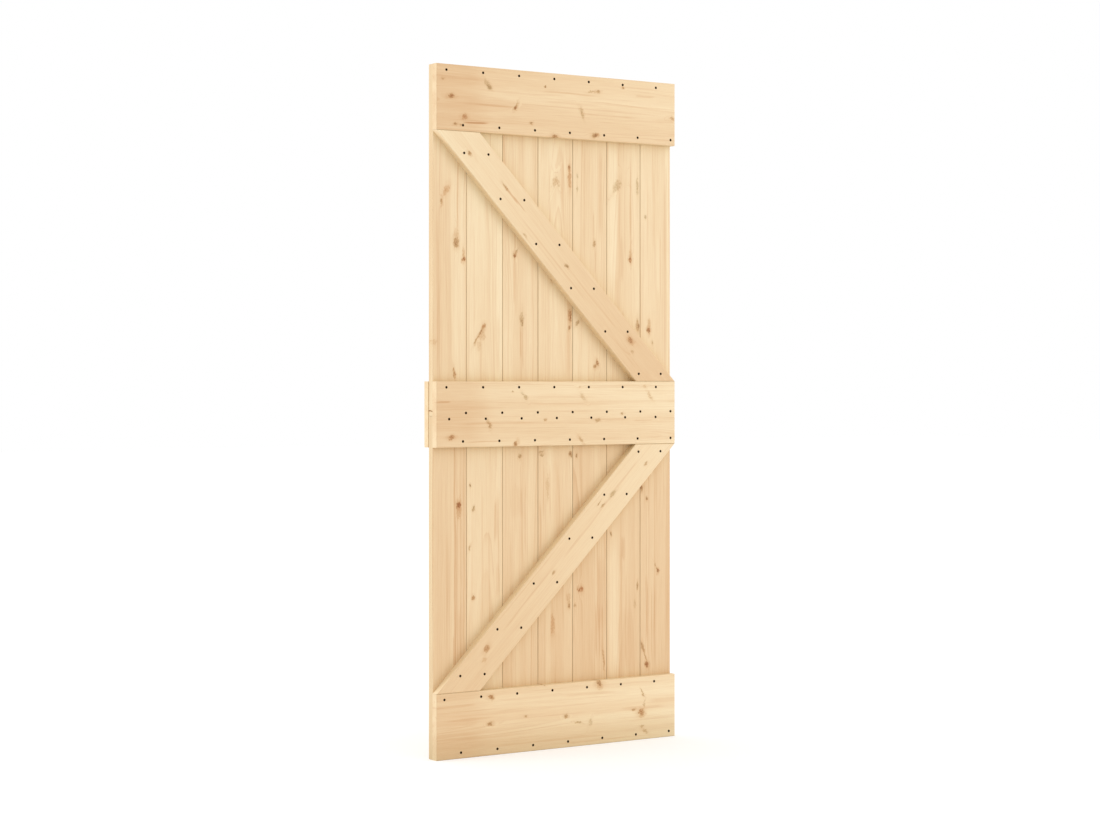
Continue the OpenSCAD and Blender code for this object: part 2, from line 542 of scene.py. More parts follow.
    def build_rings(self) -> bpy.types.NodeTree:
        """Draws the group of growth rings round a pith line that runs along the board.

        Returns:
            The group: a place, the pith and the knots' bulge in, grain masks out.
        """
        own = {"Place": "Vector", "Pith": "Vector", "Drift": "Float", "Ring Width": "Float",
               "Shift": "Vector", "Bulge": "Float"}
        masks = {"Late": "Float", "Band": "Float", "Fibre": "Float", "Line": "Float"}
        form = GroupForm("pine_rings", own, masks)
        pen = form.sketch
        entry = form.entry
        across, through, along = pen.split(pen.vector("SUBTRACT", entry["Place"], entry["Pith"]))
        through = pen.math("SUBTRACT", through, pen.math("MULTIPLY", along, entry["Drift"]))
        radius = self.hypotenuse(pen, across, through)
        moved = pen.vector("ADD", entry["Place"], entry["Shift"])

        def waver(scale: Triple, detail: float, reach_mm: float) -> bpy.types.NodeSocket:
            """Gives noise about zero that reaches so many millimetres."""
            wave = pen.math("SUBTRACT", pen.noise(moved, scale, detail), 0.5)
            return pen.math("MULTIPLY", wave, reach_mm * MM)

        radius = pen.math("ADD", radius, waver((7.0, 7.0, 1.1), 1.0, self.wander_mm))
        radius = pen.math("ADD", radius, waver((60.0, 60.0, 7.0), 2.0, self.wiggle_mm))
        radius = pen.math("ADD", radius, entry["Bulge"])
        count = pen.math("DIVIDE", radius, entry["Ring Width"])
        years = pen.add("ShaderNodeTexNoise", noise_dimensions="1D")
        years.inputs["Scale"].default_value = self.year_waves
        years.inputs["Detail"].default_value = 1.0
        pen.feed(years.inputs["W"], count)
        count = pen.math("ADD", count, pen.math("MULTIPLY", years.outputs["Fac"], self.year_shift))
        share = pen.math("FRACT", count)
        ring = pen.math("FLOOR", count)
        darkening = pen.math("POWER", share, self.late_power)
        late = pen.math("MULTIPLY", darkening, pen.fade(share, 0.86, 1.0, 1.0, 0.0))
        chance = pen.add("ShaderNodeTexWhiteNoise", noise_dimensions="1D")
        pen.feed(chance.inputs["W"], ring)
        late = pen.math("MULTIPLY", late, pen.fade(chance.outputs["Value"], 0.1, 1.0, 0.15, 1.8))
        presence = pen.fade(pen.noise(moved, (16.0, 16.0, 1.4)), 0.36, 0.64, 0.05, 1.2)
        band = pen.fade(pen.noise(moved, (26.0, 26.0, 0.7)), 0.25, 0.75, 0.0, 1.0)
        line = pen.fade(pen.noise(moved, (150.0, 150.0, 1.9)), 0.56, 0.74, 0.0, 1.0)
        fibre = pen.fade(pen.noise(moved, (900.0, 900.0, 14.0), 3.0), 0.35, 0.75, 0.0, 1.0)
        pen.feed(form.exit["Late"], pen.math("MULTIPLY", late, presence))
        pen.feed(form.exit["Band"], band)
        pen.feed(form.exit["Line"], line)
        pen.feed(form.exit["Fibre"], fibre)
        return form.tree

    def build_colour(self) -> bpy.types.NodeTree:
        """Draws the group that turns what is in the wood into colour, roughness and height.

        Each thing in the wood takes up light in its own tint, and what is left of the clear colour shows.

        Returns:
            The group: masks, the board's own shade and the painted shading in, surface values out.
        """
        names = ("Late", "Band", "Fibre", "Line", "Warmth", "Knot", "Red", "PaintedShading", "Shade")
        form = GroupForm("pine_colour", {name: "Float" for name in names},
                         {"Color": "Color", "Roughness": "Float", "Height": "Float"})
        pen = form.sketch
        entry = form.entry
        finish = self.finish
        grain = pen.math("ADD", entry["Warmth"], entry["Shade"])
        for mask, share in (("Late", finish.late), ("Band", finish.band), ("Line", finish.line),
                            ("Fibre", finish.fibre)):
            grain = pen.math("ADD", grain, pen.math("MULTIPLY", entry[mask], share))
        knot = pen.math("MULTIPLY", entry["Knot"], finish.knot)
        red = pen.math("MULTIPLY", entry["Red"], finish.knot)
        # painted light and shade darken or lighten in the knot tint less its red, a greyer shade
        shading_density = pen.math("MULTIPLY", entry["PaintedShading"], finish.knot)
        left = []
        for grain_part, knot_part, red_part in zip(finish.grain_tint, finish.knot_tint, finish.red_tint):
            taken = pen.math("MULTIPLY", grain, grain_part)
            taken = pen.math("ADD", taken, pen.math("MULTIPLY", knot, knot_part))
            taken = pen.math("ADD", taken, pen.math("MULTIPLY", red, red_part))
            taken = pen.math("ADD", taken, pen.math("MULTIPLY", shading_density, knot_part - red_part))
            left.append(pen.math("EXPONENT", pen.math("MULTIPLY", taken, -1.0)))
        pen.feed(form.exit["Color"], pen.vector("MULTIPLY", pen.join(*left), finish.clear[:3]))
        rough = finish.roughness
        for mask, change in (("Late", -finish.late_smooth), ("Fibre", finish.fibre_rough),
                             ("Knot", -finish.knot_smooth)):
            rough = pen.math("ADD", rough, pen.math("MULTIPLY", entry[mask], change))
        height = 0.0
        for mask, change in (("Late", finish.late_rise), ("Fibre", -finish.fibre_dip),
                             ("Knot", finish.knot_rise)):
            height = pen.math("ADD", height, pen.math("MULTIPLY", entry[mask], change))
        pen.feed(form.exit["Roughness"], rough)
        pen.feed(form.exit["Height"], height)
        return form.tree


@dataclass(frozen=True)
class Lay:
    """How a board lies in the leaf: its middle, the turn of its grain about Y and the leaf's left edge."""

    centre: Vector
    turn: float
    left_x: float

    def on_board(self, x_mm: float, z_mm: float) -> Triple:
        """Turns a place on the leaf into a place on the board.

        Args:
            x_mm: Millimetres from the leaf's left edge.
            z_mm: Millimetres above the foot.

        Returns:
            The place across, through and along the board, in metres.
        """
        right = self.left_x + x_mm * MM - self.centre.x
        up = z_mm * MM - self.centre.z
        across = right * math.cos(self.turn) - up * math.sin(self.turn)
        along = right * math.sin(self.turn) + up * math.cos(self.turn)
        return across, 0.0, along


@dataclass
class Board:
    """One pine board of the leaf: a CAD node and how its wood looks.

    Shade darkens the whole face, and slope says by how much more to each metre along the grain; on the
    planks the slope is partly painted shade, darker towards the rail below. Edge and grey are painted light
    and shade
    on the sawn sides and ends: below 0 they paint them paler, above 0 darker, grey in a greyer tint. Figure
    is how plainly the grain shows. A plank also has a painted shade line in the seam on its right, at
    seam_mm from the leaf's left edge.
    """

    node: str
    grain: Grain
    cut: Cut
    side: int = 1
    shade: float = 0.0
    slope: float = 0.0
    edge: float = 0.0
    grey: float = 0.0
    figure: float = 1.0
    ring_mm: float = 3.0
    drift: float = 0.012
    seam_mm: float = 0.0
    seam_painted_shade: float = 0.0
    seam_half_mm: float = 1.5
    seam_soft: float = 0.3
    knots: tuple[Knot, ...] = ()
    streaks: tuple[Streak, ...] = ()

    def lie(self, left_x: float, brace_width: float) -> Lay:
        """Works out how the board lies in the leaf.

        Args:
            left_x: X of the leaf's left edge, in metres.
            brace_width: Width of a brace square to its length, in metres.

        Returns:
            The board's lay.
        """
        low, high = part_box(self.node)
        size = high - low
        diagonal = math.hypot(size.x, size.z)
        slope = math.atan2(size.z, size.x) + math.asin(min(1.0, brace_width / diagonal))
        quarter = math.pi / 2
        turns = {Grain.UPRIGHT: 0.0, Grain.LEVEL: quarter, Grain.FALLING: quarter + slope,
                 Grain.RISING: quarter - slope}
        return Lay((low + high) / 2, turns[self.grain], left_x)

    def mark(self, pen: NodeSketch, shop: PineShop, lay: Lay, place: bpy.types.NodeSocket,
             shift: Triple) -> dict[str, object]:
        """Draws the knots, the stripes and the painted shade line of the seam.

        Args:
            pen: The sketch of the board's material.
            shop: The pine node groups.
            lay: How the board lies.
            place: The place on the board.
            shift: Where in the noise the board lies.

        Returns:
            How dark, red, swollen and warm the wood is, and the painted shade line of the seam.
        """
        outline = pen.group(shop.groups["pine_outline"], Place=place, Shift=shift)
        sums = {"Knot": 0.0, "Red": 0.0, "Bulge": 0.0}
        for knot in self.knots:
            made = pen.group(shop.groups["pine_knot"], Place=outline["Ragged"],
                             Centre=lay.on_board(knot.x, knot.z), Radius=knot.radius * MM,
                             Stretch=knot.stretch, Lean=-math.radians(knot.lean), Taper=knot.taper,
                             Dark=knot.dark, Redness=knot.red, Mottle=outline["Mottle"], **sums)
            sums = {label: made[label] for label in sums}
        stripe = shop.groups["pine_streak"]
        warmth = 0.0
        for streak in self.streaks:
            warmth = pen.group(stripe, Place=outline["Trail"], Centre=lay.on_board(streak.x, streak.z),
                               Half_Width=streak.half_width * MM, Half_Length=streak.half_length * MM,
                               Soft=streak.soft, Strength=streak.warm, Warmth=warmth)["Warmth"]
        # painted shade: a thin dark line down the seam, standing in for the shade in the joint
        seam = 0.0
        if self.seam_painted_shade:
            seam = pen.group(stripe, Place=place, Centre=lay.on_board(self.seam_mm, 0.0),
                             Half_Width=self.seam_half_mm * MM, Half_Length=SEAM_REACH, Soft=self.seam_soft,
                             Strength=self.seam_painted_shade, Warmth=0.0)["Warmth"]
        return sums | {"Warmth": warmth, "PaintedShading": seam}

    def tone(self, pen: NodeSketch, finish: PineFinish, place: bpy.types.NodeSocket,
             normal: bpy.types.NodeSocket) -> tuple[bpy.types.NodeSocket, bpy.types.NodeSocket]:
        """Draws the tone of the face, painted light and shade on the sawn sides, and painted shade in the
        corners.

        Args:
            pen: The sketch of the board's material.
            finish: The pine's finish.
            place: The place on the board.
            normal: The surface's direction.

        Returns:
            The face's shade with the sides' painted light and shade, and the painted grey shade of the sides
            and corners.
        """
        # painted light and shade on the sawn sides and ends, which take edge in place of the face's shade
        _, through, _ = pen.split(normal)
        side = pen.fade(pen.math("ABSOLUTE", through), 0.4, 0.8, 1.0, 0.0)
        _, _, along = pen.split(place)
        shade = pen.math("ADD", self.shade, pen.math("MULTIPLY", along, self.slope))
        shade = pen.math("MULTIPLY", shade, pen.math("SUBTRACT", 1.0, side))
        shade = pen.math("ADD", shade, pen.math("MULTIPLY", side, self.edge))
        # painted shade: ambient occlusion darkens the corners and hollows where less light reaches
        corner = pen.add("ShaderNodeAmbientOcclusion", samples=CORNER_SAMPLES)
        corner.inputs["Distance"].default_value = finish.painted_corner_shade_mm * MM
        occlusion = pen.math("SUBTRACT", 1.0, corner.outputs["AO"])
        painted_shading = pen.math("ADD", pen.math("MULTIPLY", side, self.grey),
                        pen.math("MULTIPLY", occlusion, finish.painted_corner_shade))
        return shade, painted_shading

    def dress(self, shop: PineShop, number: int, lay: Lay) -> None:
        """Gives the board's CAD node its own pine material.

        Args:
            shop: The pine node groups.
            number: The board's number, which sets it apart from the others.
            lay: How the board lies.
        """
        material = bpy.data.materials.new(f"pine_{self.node}")
        pen = clear_sketch(material)
        coordinates = pen.add("ShaderNodeTexCoord")
        mapping = pen.add("ShaderNodeMapping", vector_type="TEXTURE")
        pen.feed(mapping.inputs["Vector"], coordinates.outputs["Object"])
        mapping.inputs["Location"].default_value = lay.centre
        mapping.inputs["Rotation"].default_value = (0.0, lay.turn, 0.0)
        place = mapping.outputs["Vector"]
        shift = tuple(number * step for step in NOISE_STEP)
        sums = self.mark(pen, shop, lay, place, shift)
        pith_across, pith_depth = self.cut.value
        pith = (self.side * pith_across * MM, pith_depth * MM, 0.0)
        grain = pen.group(shop.groups["pine_rings"], Place=place, Pith=pith, Drift=self.drift,
                          Ring_Width=self.ring_mm * MM, Shift=shift, Bulge=sums.pop("Bulge"))
        shade, painted_shading = self.tone(pen, shop.finish, place, coordinates.outputs["Normal"])
        # painted shading: light and shade on the sides, shade in the corners and the seam's shade line
        sums["PaintedShading"] = pen.math("ADD", painted_shading, sums["PaintedShading"])
        masks = {}
        for label in ("Late", "Band", "Line"):
            masks[label] = pen.math("MULTIPLY", grain[label], self.figure)
        look = pen.group(shop.groups["pine_colour"], Fibre=grain["Fibre"], Shade=shade, **masks, **sums)
        bump = pen.add("ShaderNodeBump")
        bump.inputs["Strength"].default_value = shop.finish.bump_strength
        bump.inputs["Distance"].default_value = shop.finish.bump_mm * MM
        pen.feed(bump.inputs["Height"], look["Height"])
        surface = pen.add("ShaderNodeBsdfPrincipled")
        pen.feed(surface.inputs["Base Color"], look["Color"])
        pen.feed(surface.inputs["Roughness"], look["Roughness"])
        pen.feed(surface.inputs["Normal"], bump.outputs["Normal"])
        surface.inputs["Specular IOR Level"].default_value = shop.finish.shine
        pen.finish("ShaderNodeOutputMaterial", surface.outputs["BSDF"])
        mesh = bpy.data.objects[self.node].data
        mesh.materials.clear()
        mesh.materials.append(material)
        LOG.info("board %s: %d knots, %d streaks", self.node, len(self.knots), len(self.streaks))


@dataclass
class Leaf:
    """All the boards of the leaf, each with the knots and stripes of its own wood.

    A seam is its place from the left edge, in millimetres, and how dark its painted shade line is.
    """

    brace_width_mm: float = 110.0
    # place and darkness of the painted shade line in each seam
    seams: tuple[tuple[float, float], ...] = ((121.5, 0.1), (252.9, 0.15), (384.3, 0.5), (515.7, 0.5),
                                              (647.1, 0.4), (778.5, 0.4))
    boards: list[Board] = field(default_factory=list)

    def upper_planks(self) -> list[Board]:
        """Lists the planks above the middle joint, from the left."""
        up = Grain.UPRIGHT
        # a negative slope darkens a plank towards the middle rail, partly painted shade
        return [
            # grey paints shade on the left plank's sawn side
            Board("upper_plank_1", up, Cut.RIFT, 1, 0.0, -0.07, grey=0.07, knots=(
                Knot(50, 1722, 9, 0.24, 1.2, 1.8, 25), Knot(33, 1688, 5, 0.5, 0.2, 1.4),
                Knot(84, 1564, 10, 0.6, 0.2), Knot(86, 1590, 8, 0.12, 0.9, 2.0),
                Knot(112, 1513, 6, 0.7, 0.8, 1.1), Knot(110, 1530, 4, 0.2, 0.9, 5.0),
                Knot(78, 1166, 4, 0.45, 0.7, 4.0, -10), Knot(9, 1260, 8, 0.12, 0.8),
                Knot(1, 1051, 5, 0.9, 0.2, 0.35)), streaks=(
                Streak(34, 1490, 33, 420, 0.045, 0.12), Streak(78, 1490, 10, 420, -0.035, 0.4),
                Streak(91, 1700, 1.8, 130, 0.12), Streak(20, 1400, 4, 300, 0.05),
                Streak(50, 1550, 3, 260, 0.05))),
            Board("upper_plank_2", up, Cut.FLAT, -1, -0.04, -0.07, knots=(
                Knot(186, 1311, 6, 0.5, 0.9), Knot(174, 1294, 4, 0.5, 0.3, 3.4, 40),
                Knot(158, 1268, 3.5, 0.4, 0.3, 5.0, 30), Knot(178, 1283, 12, 0.16, 0.8, 1.4),
                Knot(166, 1250, 9, 0.12, 0.7, 1.6)), streaks=(
                Streak(236, 1250, 7, 100, 0.05), Streak(150, 1450, 3, 200, 0.05))),
            Board("upper_plank_3", up, Cut.RIFT, -1, 0.015, knots=(
                Knot(298, 1529, 5.5, 0.75, 0.5), Knot(304, 1542, 2.5, 0.35, 0.2, 4.0, 25),
                Knot(323, 1332, 8, 0.3, -0.3, 2.8), Knot(326, 1322, 4, 0.3, 0.0, 2.6)), streaks=(
                Streak(296, 1450, 3, 80, 0.08), Streak(303, 1420, 2, 90, 0.06),
                Streak(322, 1260, 3, 60, 0.1), Streak(330, 1250, 2.5, 70, 0.08),
                Streak(275, 1350, 3, 260, 0.05))),
            Board("upper_plank_4", up, Cut.FLAT, 1, -0.005, knots=(
                Knot(447, 1764, 7, 0.22, 0.4, 2.4, 20), Knot(459, 1762, 6, 0.2, 0.4, 2.4, -20),
                Knot(503, 1776, 6.5, 0.27, 1.3, 4.6), Knot(503, 1812, 4.5, 0.7, 0.4),
                Knot(438, 1466, 6, 0.5, 0.3), Knot(505, 1347, 7, 0.45, 0.8, 3.0),
                Knot(510, 1345, 2.5, 0.45, 0.2, 6.0), Knot(503, 1309, 4.5, 0.6, 0.2, 1.6, 30)), streaks=(
                Streak(478, 1740, 3, 140, 0.06), Streak(425, 1700, 3, 160, 0.05),
                Streak(500, 1230, 8, 90, 0.05))),
            Board("upper_plank_5", up, Cut.RIFT, 1, 0.0, knots=(
                Knot(532, 1785, 3.5, 0.25, -0.6, 3.0), Knot(532, 1745, 3.5, 0.25, -0.6, 3.0),
                Knot(599, 1576, 5, 0.4, 0.2, 1.6), Knot(533, 1325, 4.5, 0.4, -0.1, 2.6, 35),
                Knot(611, 1200, 6, 0.55, 0.6, 1.4, -20), Knot(602, 1188, 5, 0.5, 0.5)), streaks=(
                Streak(624, 1740, 6, 170, 0.07), Streak(598, 1620, 2.5, 60, 0.09),
                Streak(603, 1520, 2.5, 60, 0.08), Streak(560, 1700, 3, 240, 0.05))),
            Board("upper_plank_6", up, Cut.FLAT, -1, 0.01, knots=(
                Knot(686, 1760, 11, 0.26, -0.2, 1.9, 35, -0.4), Knot(740, 1529, 6, 0.6, 0.8),
                Knot(741, 1545, 6, 0.15, 0.9, 3.0), Knot(767, 1766, 4, 0.3, -0.6, 6.5),
                Knot(767, 1322, 7, 0.35, 0.2, 3.0), Knot(772, 1316, 3, 0.4, 0.1, 4.0)), streaks=(
                Streak(672, 1600, 20, 170, -0.03, 0.5), Streak(672, 1810, 18, 80, -0.025, 0.5),
                Streak(741, 1670, 3, 210, 0.09), Streak(705, 1530, 5, 80, 0.05),
                Streak(718, 1650, 2, 160, 0.06))),
            Board("upper_plank_7", up, Cut.QUARTER, 1, -0.015, -0.04, knots=(
                Knot(799, 1668, 4.5, 0.35, -0.5), Knot(813, 1304, 6.5, 0.8, 0.6, 1.3),
                Knot(814, 1326, 7, 0.2, 0.8, 2.4), Knot(826, 1266, 3.5, 0.4, -0.4, 1.6)), streaks=(
                Streak(852, 1510, 7, 120, -0.04), Streak(862, 1510, 2, 140, 0.06),
                Streak(882, 1500, 6, 380, 0.05), Streak(835, 1700, 2.5, 160, 0.05))),
        ]

    def lower_planks(self) -> list[Board]:
        """Lists the planks below the middle joint, from the left."""
        up = Grain.UPRIGHT
        # a negative slope darkens a plank towards the bottom rail, partly painted shade
        return [
            # grey paints shade on the left plank's sawn side
            Board("lower_plank_1", up, Cut.QUARTER, -1, 0.075, -0.03, grey=0.1, ring_mm=4.5, knots=(
                Knot(93, 766, 8.5, 0.75, 0.8, 1.1), Knot(93, 745, 8, 0.15, 0.9, 2.4)), streaks=(
                Streak(71, 600, 3, 460, -0.03), Streak(79, 600, 2, 460, 0.14, 0.4),
                Streak(88, 560, 1.5, 400, 0.07), Streak(99, 600, 1.5, 440, 0.08),
                Streak(111, 560, 2, 420, 0.09), Streak(94, 340, 14, 120, 0.05),
                Streak(74, 325, 2, 60, 0.12), Streak(30, 560, 5, 420, 0.03))),
            Board("lower_plank_2", up, Cut.FLAT, 1, 0.035, -0.03, figure=0.65, knots=(
                Knot(134, 826, 2.8, 0.9, -0.2), Knot(147, 755, 5, 0.5, -0.3),
                Knot(146, 483, 5, 0.5, 0.4), Knot(134, 635, 3.5, 0.35, 0.2, 2.4, 25)), streaks=(
                Streak(130, 620, 6, 240, -0.04, 0.4), Streak(240, 870, 8, 90, -0.03),
                Streak(232, 720, 7, 70, 0.06), Streak(228, 720, 2, 80, 0.08), Streak(235, 530, 6, 60, 0.06),
                Streak(240, 620, 2, 170, 0.08), Streak(180, 600, 3, 260, 0.05),
                Streak(205, 500, 2.5, 220, 0.05))),
            Board("lower_plank_3", up, Cut.RIFT, 1, 0.065, -0.08, ring_mm=4.0, knots=(
                Knot(317, 910, 5.5, 0.5, -0.2),), streaks=(
                Streak(310, 770, 22, 60, 0.03), Streak(324, 720, 2.5, 150, 0.07),
                Streak(338, 720, 2.5, 150, 0.06), Streak(352, 730, 3, 150, -0.03),
                Streak(331, 720, 3, 150, -0.025))),
            Board("lower_plank_4", up, Cut.FLAT, -1, 0.065, -0.06, ring_mm=4.0, knots=(
                Knot(396, 921, 3, 0.4, -0.3, 2.6, 80), Knot(399, 914, 3, 0.35, -0.3, 2.6, 80),
                Knot(420, 812, 6, 0.14, 0.7, 7.0), Knot(439, 385, 7, 0.22, 1.2, 5.0, 0, 0.5),
                Knot(508, 913, 5.5, 0.65, 0.1), Knot(502, 436, 5, 0.6, 0.2),
                Knot(500, 458, 9, 0.14, 0.8, 2.0)), streaks=(
                Streak(407, 800, 2, 100, 0.08), Streak(430, 800, 2.5, 100, 0.07),
                Streak(394, 690, 3, 90, 0.09), Streak(432, 830, 3, 90, -0.02),
                Streak(480, 560, 3, 260, 0.05))),
            Board("lower_plank_5", up, Cut.RIFT, -1, 0.07, -0.04, ring_mm=4.0, knots=(
                Knot(530, 910, 4, 0.55, 0.1), Knot(549, 488, 8, 0.48, 1.3, 1.2),
                Knot(535, 491, 3, 0.5, 1.0), Knot(541, 484, 2.5, 0.4, 1.0), Knot(524, 438, 3.5, 0.4, 0.0),
                Knot(634, 260, 4, 0.3, 0.5, 8.0, -6)), streaks=(
                Streak(625, 480, 12, 150, 0.05), Streak(613, 500, 2.5, 220, 0.08),
                Streak(606, 350, 2.5, 100, 0.11), Streak(618, 350, 2, 100, 0.1),
                Streak(630, 350, 2.5, 100, 0.09), Streak(641, 560, 2.5, 260, 0.06))),
            Board("lower_plank_6", up, Cut.FLAT, 1, 0.08, -0.05, knots=(
                Knot(664, 658, 2.8, 0.8, -0.2, 2.0), Knot(767, 488, 3.5, 0.45, -0.1, 3.0),
                Knot(758, 432, 5, 0.15, 0.0, 3.0)), streaks=(
                Streak(672, 430, 22, 270, -0.055, 0.4), Streak(710, 610, 6, 50, 0.08),
                Streak(704, 420, 3, 240, 0.05), Streak(735, 320, 28, 110, 0.03),
                Streak(722, 380, 2.5, 180, 0.06))),
            Board("lower_plank_7", up, Cut.RIFT, 1, 0.08, -0.06, ring_mm=4.0, knots=(
                Knot(783, 802, 6, 0.75, 0.1), Knot(806, 764, 4, 0.55, 0.1), Knot(849, 533, 5, 0.75, 0.5),
                Knot(841, 548, 2, 0.3, 0.2, 6.0, -25), Knot(805, 233, 7, 0.7, 0.7),
                Knot(786, 296, 5, 0.4, 0.0, 2.2), Knot(796, 268, 2.5, 0.4, 0.3, 10.0, -20)), streaks=(
                Streak(801, 410, 1.6, 120, 0.16, 0.4), Streak(807, 410, 1.6, 120, 0.14, 0.4),
                Streak(826, 360, 2.5, 150, 0.09), Streak(838, 360, 2.5, 150, 0.09),
                Streak(888, 560, 8, 420, 0.06))),
        ]

    def rails(self) -> list[Board]:
        """Lists the four rails."""
        level = Grain.LEVEL
        return [
            # each rail's last number paints light on its sawn ends and sides, paler than the face
            Board("top_rail", level, Cut.FLAT, 1, 0.045, -0.08, -0.035, knots=(
                Knot(190, 2042, 7, 0.48, -0.5, 1.2, 50), Knot(180, 2054, 7, 0.2, -0.5, 2.0, 45),
                Knot(52, 2004, 7, 0.6, 0.5), Knot(286, 1984, 6, 0.7, 0.3, 1.2, -45),
                Knot(291, 1994, 4, 0.25, 0.2, 2.0, -70), Knot(530, 1992, 6, 0.25, -0.2, 1.6, 60),
                Knot(536, 1976, 5, 0.28, -0.2, 2.4, 70), Knot(595, 2053, 5, 0.42, 0.2, 1.6),
                Knot(572, 2052, 3, 0.25, 0.1, 5.0, -5), Knot(100, 1946, 7.5, 0.38, 0.9),
                Knot(70, 1919, 4.5, 0.55, 0.1, 1.2), Knot(86, 1918, 3, 0.3, 0.2),
                Knot(343, 1941, 4, 0.5, 0.1), Knot(396, 2057, 2.8, 0.6, 0.0, 1.2),
                Knot(430, 1905, 6, 0.6, 0.4, 1.5), Knot(583, 1915, 7, 0.6, 0.1),
                Knot(592, 1916, 6, 0.2, 0.8, 1.5), Knot(692, 2072, 4, 0.5, 0.3, 1.2),
                Knot(888, 1987, 6, 0.35, 0.4), Knot(20, 2056, 4, 0.25, 0.6)), streaks=(
                Streak(0, 2000, 110, 210, 0.06), Streak(140, 1927, 2.2, 46, 0.3, 0.4),
                Streak(150, 1985, 3, 150, 0.04), Streak(210, 1984, 2, 90, 0.07),
                Streak(490, 2040, 2.5, 130, 0.08), Streak(640, 1982, 2.5, 130, 0.07),
                Streak(780, 2052, 3, 40, 0.07), Streak(500, 2010, 3, 120, 0.05),
                Streak(90, 2060, 3, 90, 0.05), Streak(300, 2030, 2.5, 200, 0.05))),
            Board("middle_rail_front", level, Cut.RIFT, 1, 0.015, -0.06, -0.035, knots=(
                Knot(316, 1098, 5, 0.22, -0.5, 2.6, 55), Knot(321, 1092, 5, 0.18, -0.5, 1.6),
                Knot(537, 1094, 6, 0.2, -0.1, 2.4, 50), Knot(526, 1126, 4, 0.15, 0.3),
                Knot(800, 1096, 5, 0.22, 0.3, 3.2, 50), Knot(778, 1126, 5, 0.15, 0.7),
                Knot(692, 1041, 3.5, 0.6, 0.0), Knot(190, 1006, 6, 0.4, 0.0, 1.6, 70),
                Knot(184, 1019, 4, 0.2, -0.1, 1.5, 60), Knot(52, 972, 7, 0.55, 0.6, 1.4),
                Knot(594, 1020, 5, 0.35, -0.1, 1.8), Knot(396, 1024, 3.5, 0.4, 0.2, 1.2),
                Knot(286, 952, 6, 0.7, 0.4, 1.2, -60), Knot(532, 958, 5, 0.3, 0.0, 2.4, 50),
                Knot(276, 1111, 2, 0.5, 0.0, 1.2)), streaks=(
                Streak(0, 1042, 110, 210, 0.055), Streak(28, 1079, 2.5, 30, 0.14),
                Streak(90, 1050, 26, 130, 0.035), Streak(220, 1014, 3, 160, 0.05),
                Streak(170, 958, 2, 90, 0.1), Streak(640, 1022, 2.5, 90, 0.06),
                Streak(780, 1018, 2.5, 50, 0.06), Streak(420, 1012, 3, 200, 0.045),
                Streak(470, 1090, 3, 160, 0.03))),
            Board("bottom_rail", level, Cut.FLAT, -1, 0.016, -0.09, -0.045, knots=(
                Knot(194, 179, 6.5, 0.6, 0.5), Knot(203, 172, 4, 0.3, 0.5), Knot(192, 98, 5.5, 0.6, 0.2),
                Knot(323, 110, 4, 0.5, 0.0), Knot(473, 98, 5.5, 0.45, 0.2),
                Knot(522, 74, 2.5, 0.4, -0.1, 5.0, 15), Knot(566, 72, 6, 0.22, -0.3, 2.0, -70),
                Knot(600, 192, 8, 0.6, 0.2, 1.3), Knot(604, 180, 9, 0.15, 0.8, 1.5),
                Knot(765, 87, 9, 0.5, 0.8, 1.2), Knot(770, 82, 13, 0.14, 0.9, 1.2),
                Knot(736, 97, 4, 0.45, 0.2), Knot(773, 142, 4, 0.45, 0.0, 1.8, 45),
                Knot(766, 155, 2.5, 0.3, -0.2, 3.0, 70), Knot(776, 112, 2, 0.25, -0.2, 6.0, -80),
                Knot(768, 42, 4, 0.3, 0.0), Knot(780, 26, 6, 0.25, 0.2, 2.0, 30),
                Knot(395, 200, 3, 0.5, 0.2)), streaks=(
                Streak(0, 100, 110, 210, 0.055), Streak(60, 160, 3, 90, 0.06),
                Streak(240, 130, 6, 120, 0.03), Streak(350, 165, 3, 160, 0.05),
                Streak(780, 100, 5, 100, 0.05), Streak(860, 120, 8, 70, 0.05),
                Streak(200, 60, 3, 180, 0.05), Streak(560, 160, 4, 120, 0.06),
                Streak(400, 30, 3, 260, 0.05), Streak(120, 118, 3, 110, 0.06))),
            Board("middle_rail_back", level, Cut.RIFT, -1, 0.02, knots=(
                Knot(140, 1090, 8, 0.6, 0.2), Knot(330, 1000, 6, 0.55, 0.6),
                Knot(545, 1075, 7, 0.3, -0.2, 2.2, 50), Knot(720, 985, 5, 0.6, 0.0),
                Knot(815, 1110, 7, 0.55, 0.3)), streaks=(
                Streak(420, 1040, 3, 260, 0.06), Streak(640, 1100, 4, 200, 0.05),
                Streak(200, 985, 3, 170, 0.06))),
        ]

